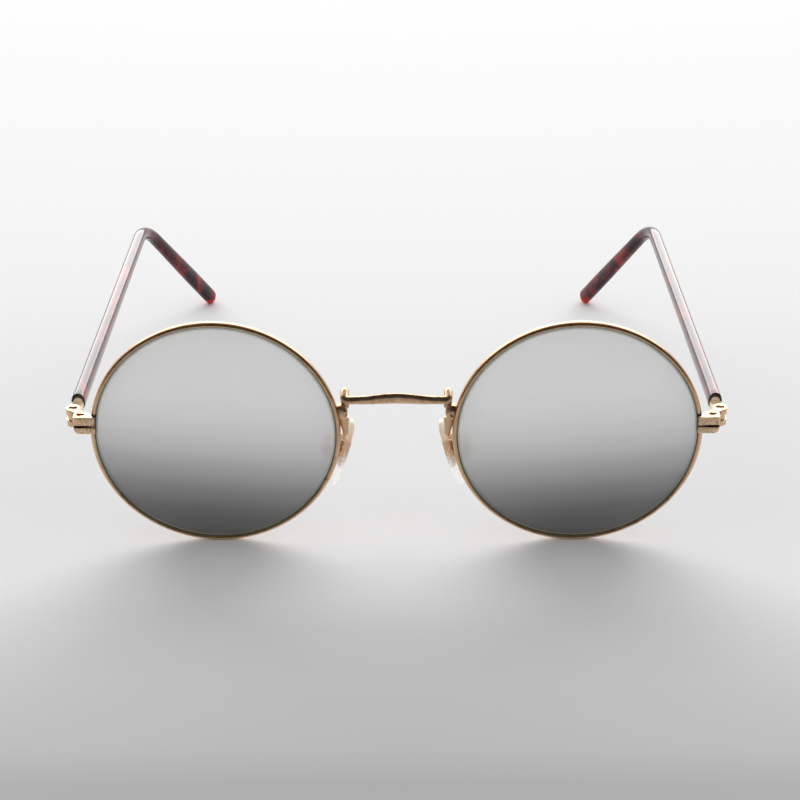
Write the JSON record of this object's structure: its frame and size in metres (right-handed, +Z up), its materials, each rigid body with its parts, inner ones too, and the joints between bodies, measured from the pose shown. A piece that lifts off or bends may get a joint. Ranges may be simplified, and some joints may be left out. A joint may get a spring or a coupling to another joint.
{
  "type": "round sunglasses",
  "caption": "Round wire-rimmed sunglasses with graded grey lenses, an arched bridge, rocking nose pads and tortoise temples that fold.",
  "frame": {"origin": "on the floor, under the middle of the glasses' box as they stand open on both rims and both temple tips", "axes": "+X to the right as seen from the front, +Y back along the temples, +Z up"},
  "size_m": [0.1324, 0.1317, 0.0499],
  "materials": {
    "gold_wire": "polished",
    "screw": "polished",
    "lens": "polished",
    "pad_plastic": "glossy",
    "tortoise": "glossy"
  },
  "bodies": {
    "front": {"eyewire_right": "gold_wire", "eyewire_left": "gold_wire", "lens_right": "lens", "lens_left": "lens", "bridge": "gold_wire", "bridge_foot_right": "gold_wire", "bridge_foot_left": "gold_wire", "pad_arm_right": "gold_wire", "pad_arm_left": "gold_wire", "pad_box_right": "gold_wire", "pad_box_left": "gold_wire", "pad_screw_right": "screw", "pad_screw_left": "screw", "closing_block_upper_right": "gold_wire", "closing_block_upper_left": "gold_wire", "closing_block_lower_right": "gold_wire", "closing_block_lower_left": "gold_wire", "lock_screw_right": "screw", "lock_screw_left": "screw", "hinge_leaf_right": "gold_wire", "hinge_leaf_left": "gold_wire", "hinge_screw_right": "screw", "hinge_screw_left": "screw"},
    "temple_right": {"temple_butt_right": "gold_wire", "temple_core_right": "gold_wire", "temple_sleeve_right": "tortoise"},
    "temple_left": {"temple_butt_left": "gold_wire", "temple_core_left": "gold_wire", "temple_sleeve_left": "tortoise"},
    "pad_right": {"pad_core_right": "gold_wire", "nose_pad_right": "pad_plastic"},
    "pad_left": {"pad_core_left": "gold_wire", "nose_pad_left": "pad_plastic"}
  },
  "joints": [
    {"name": "temple_fold_right", "type": "hinge", "parent": "front", "child": "temple_right", "pos_m": [0.06482, -0.06019, 0.02764], "axis": [0, -0.0447, 0.999], "range_deg": [0, 84]},
    {"name": "temple_fold_left", "type": "hinge", "parent": "front", "child": "temple_left", "pos_m": [-0.06482, -0.06019, 0.02764], "axis": [0, 0.0447, -0.999], "range_deg": [0, 70]},
    {"name": "pad_rock_right", "type": "hinge", "parent": "front", "child": "pad_right", "pos_m": [0.01313, -0.05618, 0.01791], "axis": [0.1564, 0.9858, 0.0613], "range_deg": [-8, 8]},
    {"name": "pad_rock_left", "type": "hinge", "parent": "front", "child": "pad_left", "pos_m": [-0.01313, -0.05618, 0.01791], "axis": [0.1564, -0.9858, -0.0613], "range_deg": [-8, 8]}
  ]
}
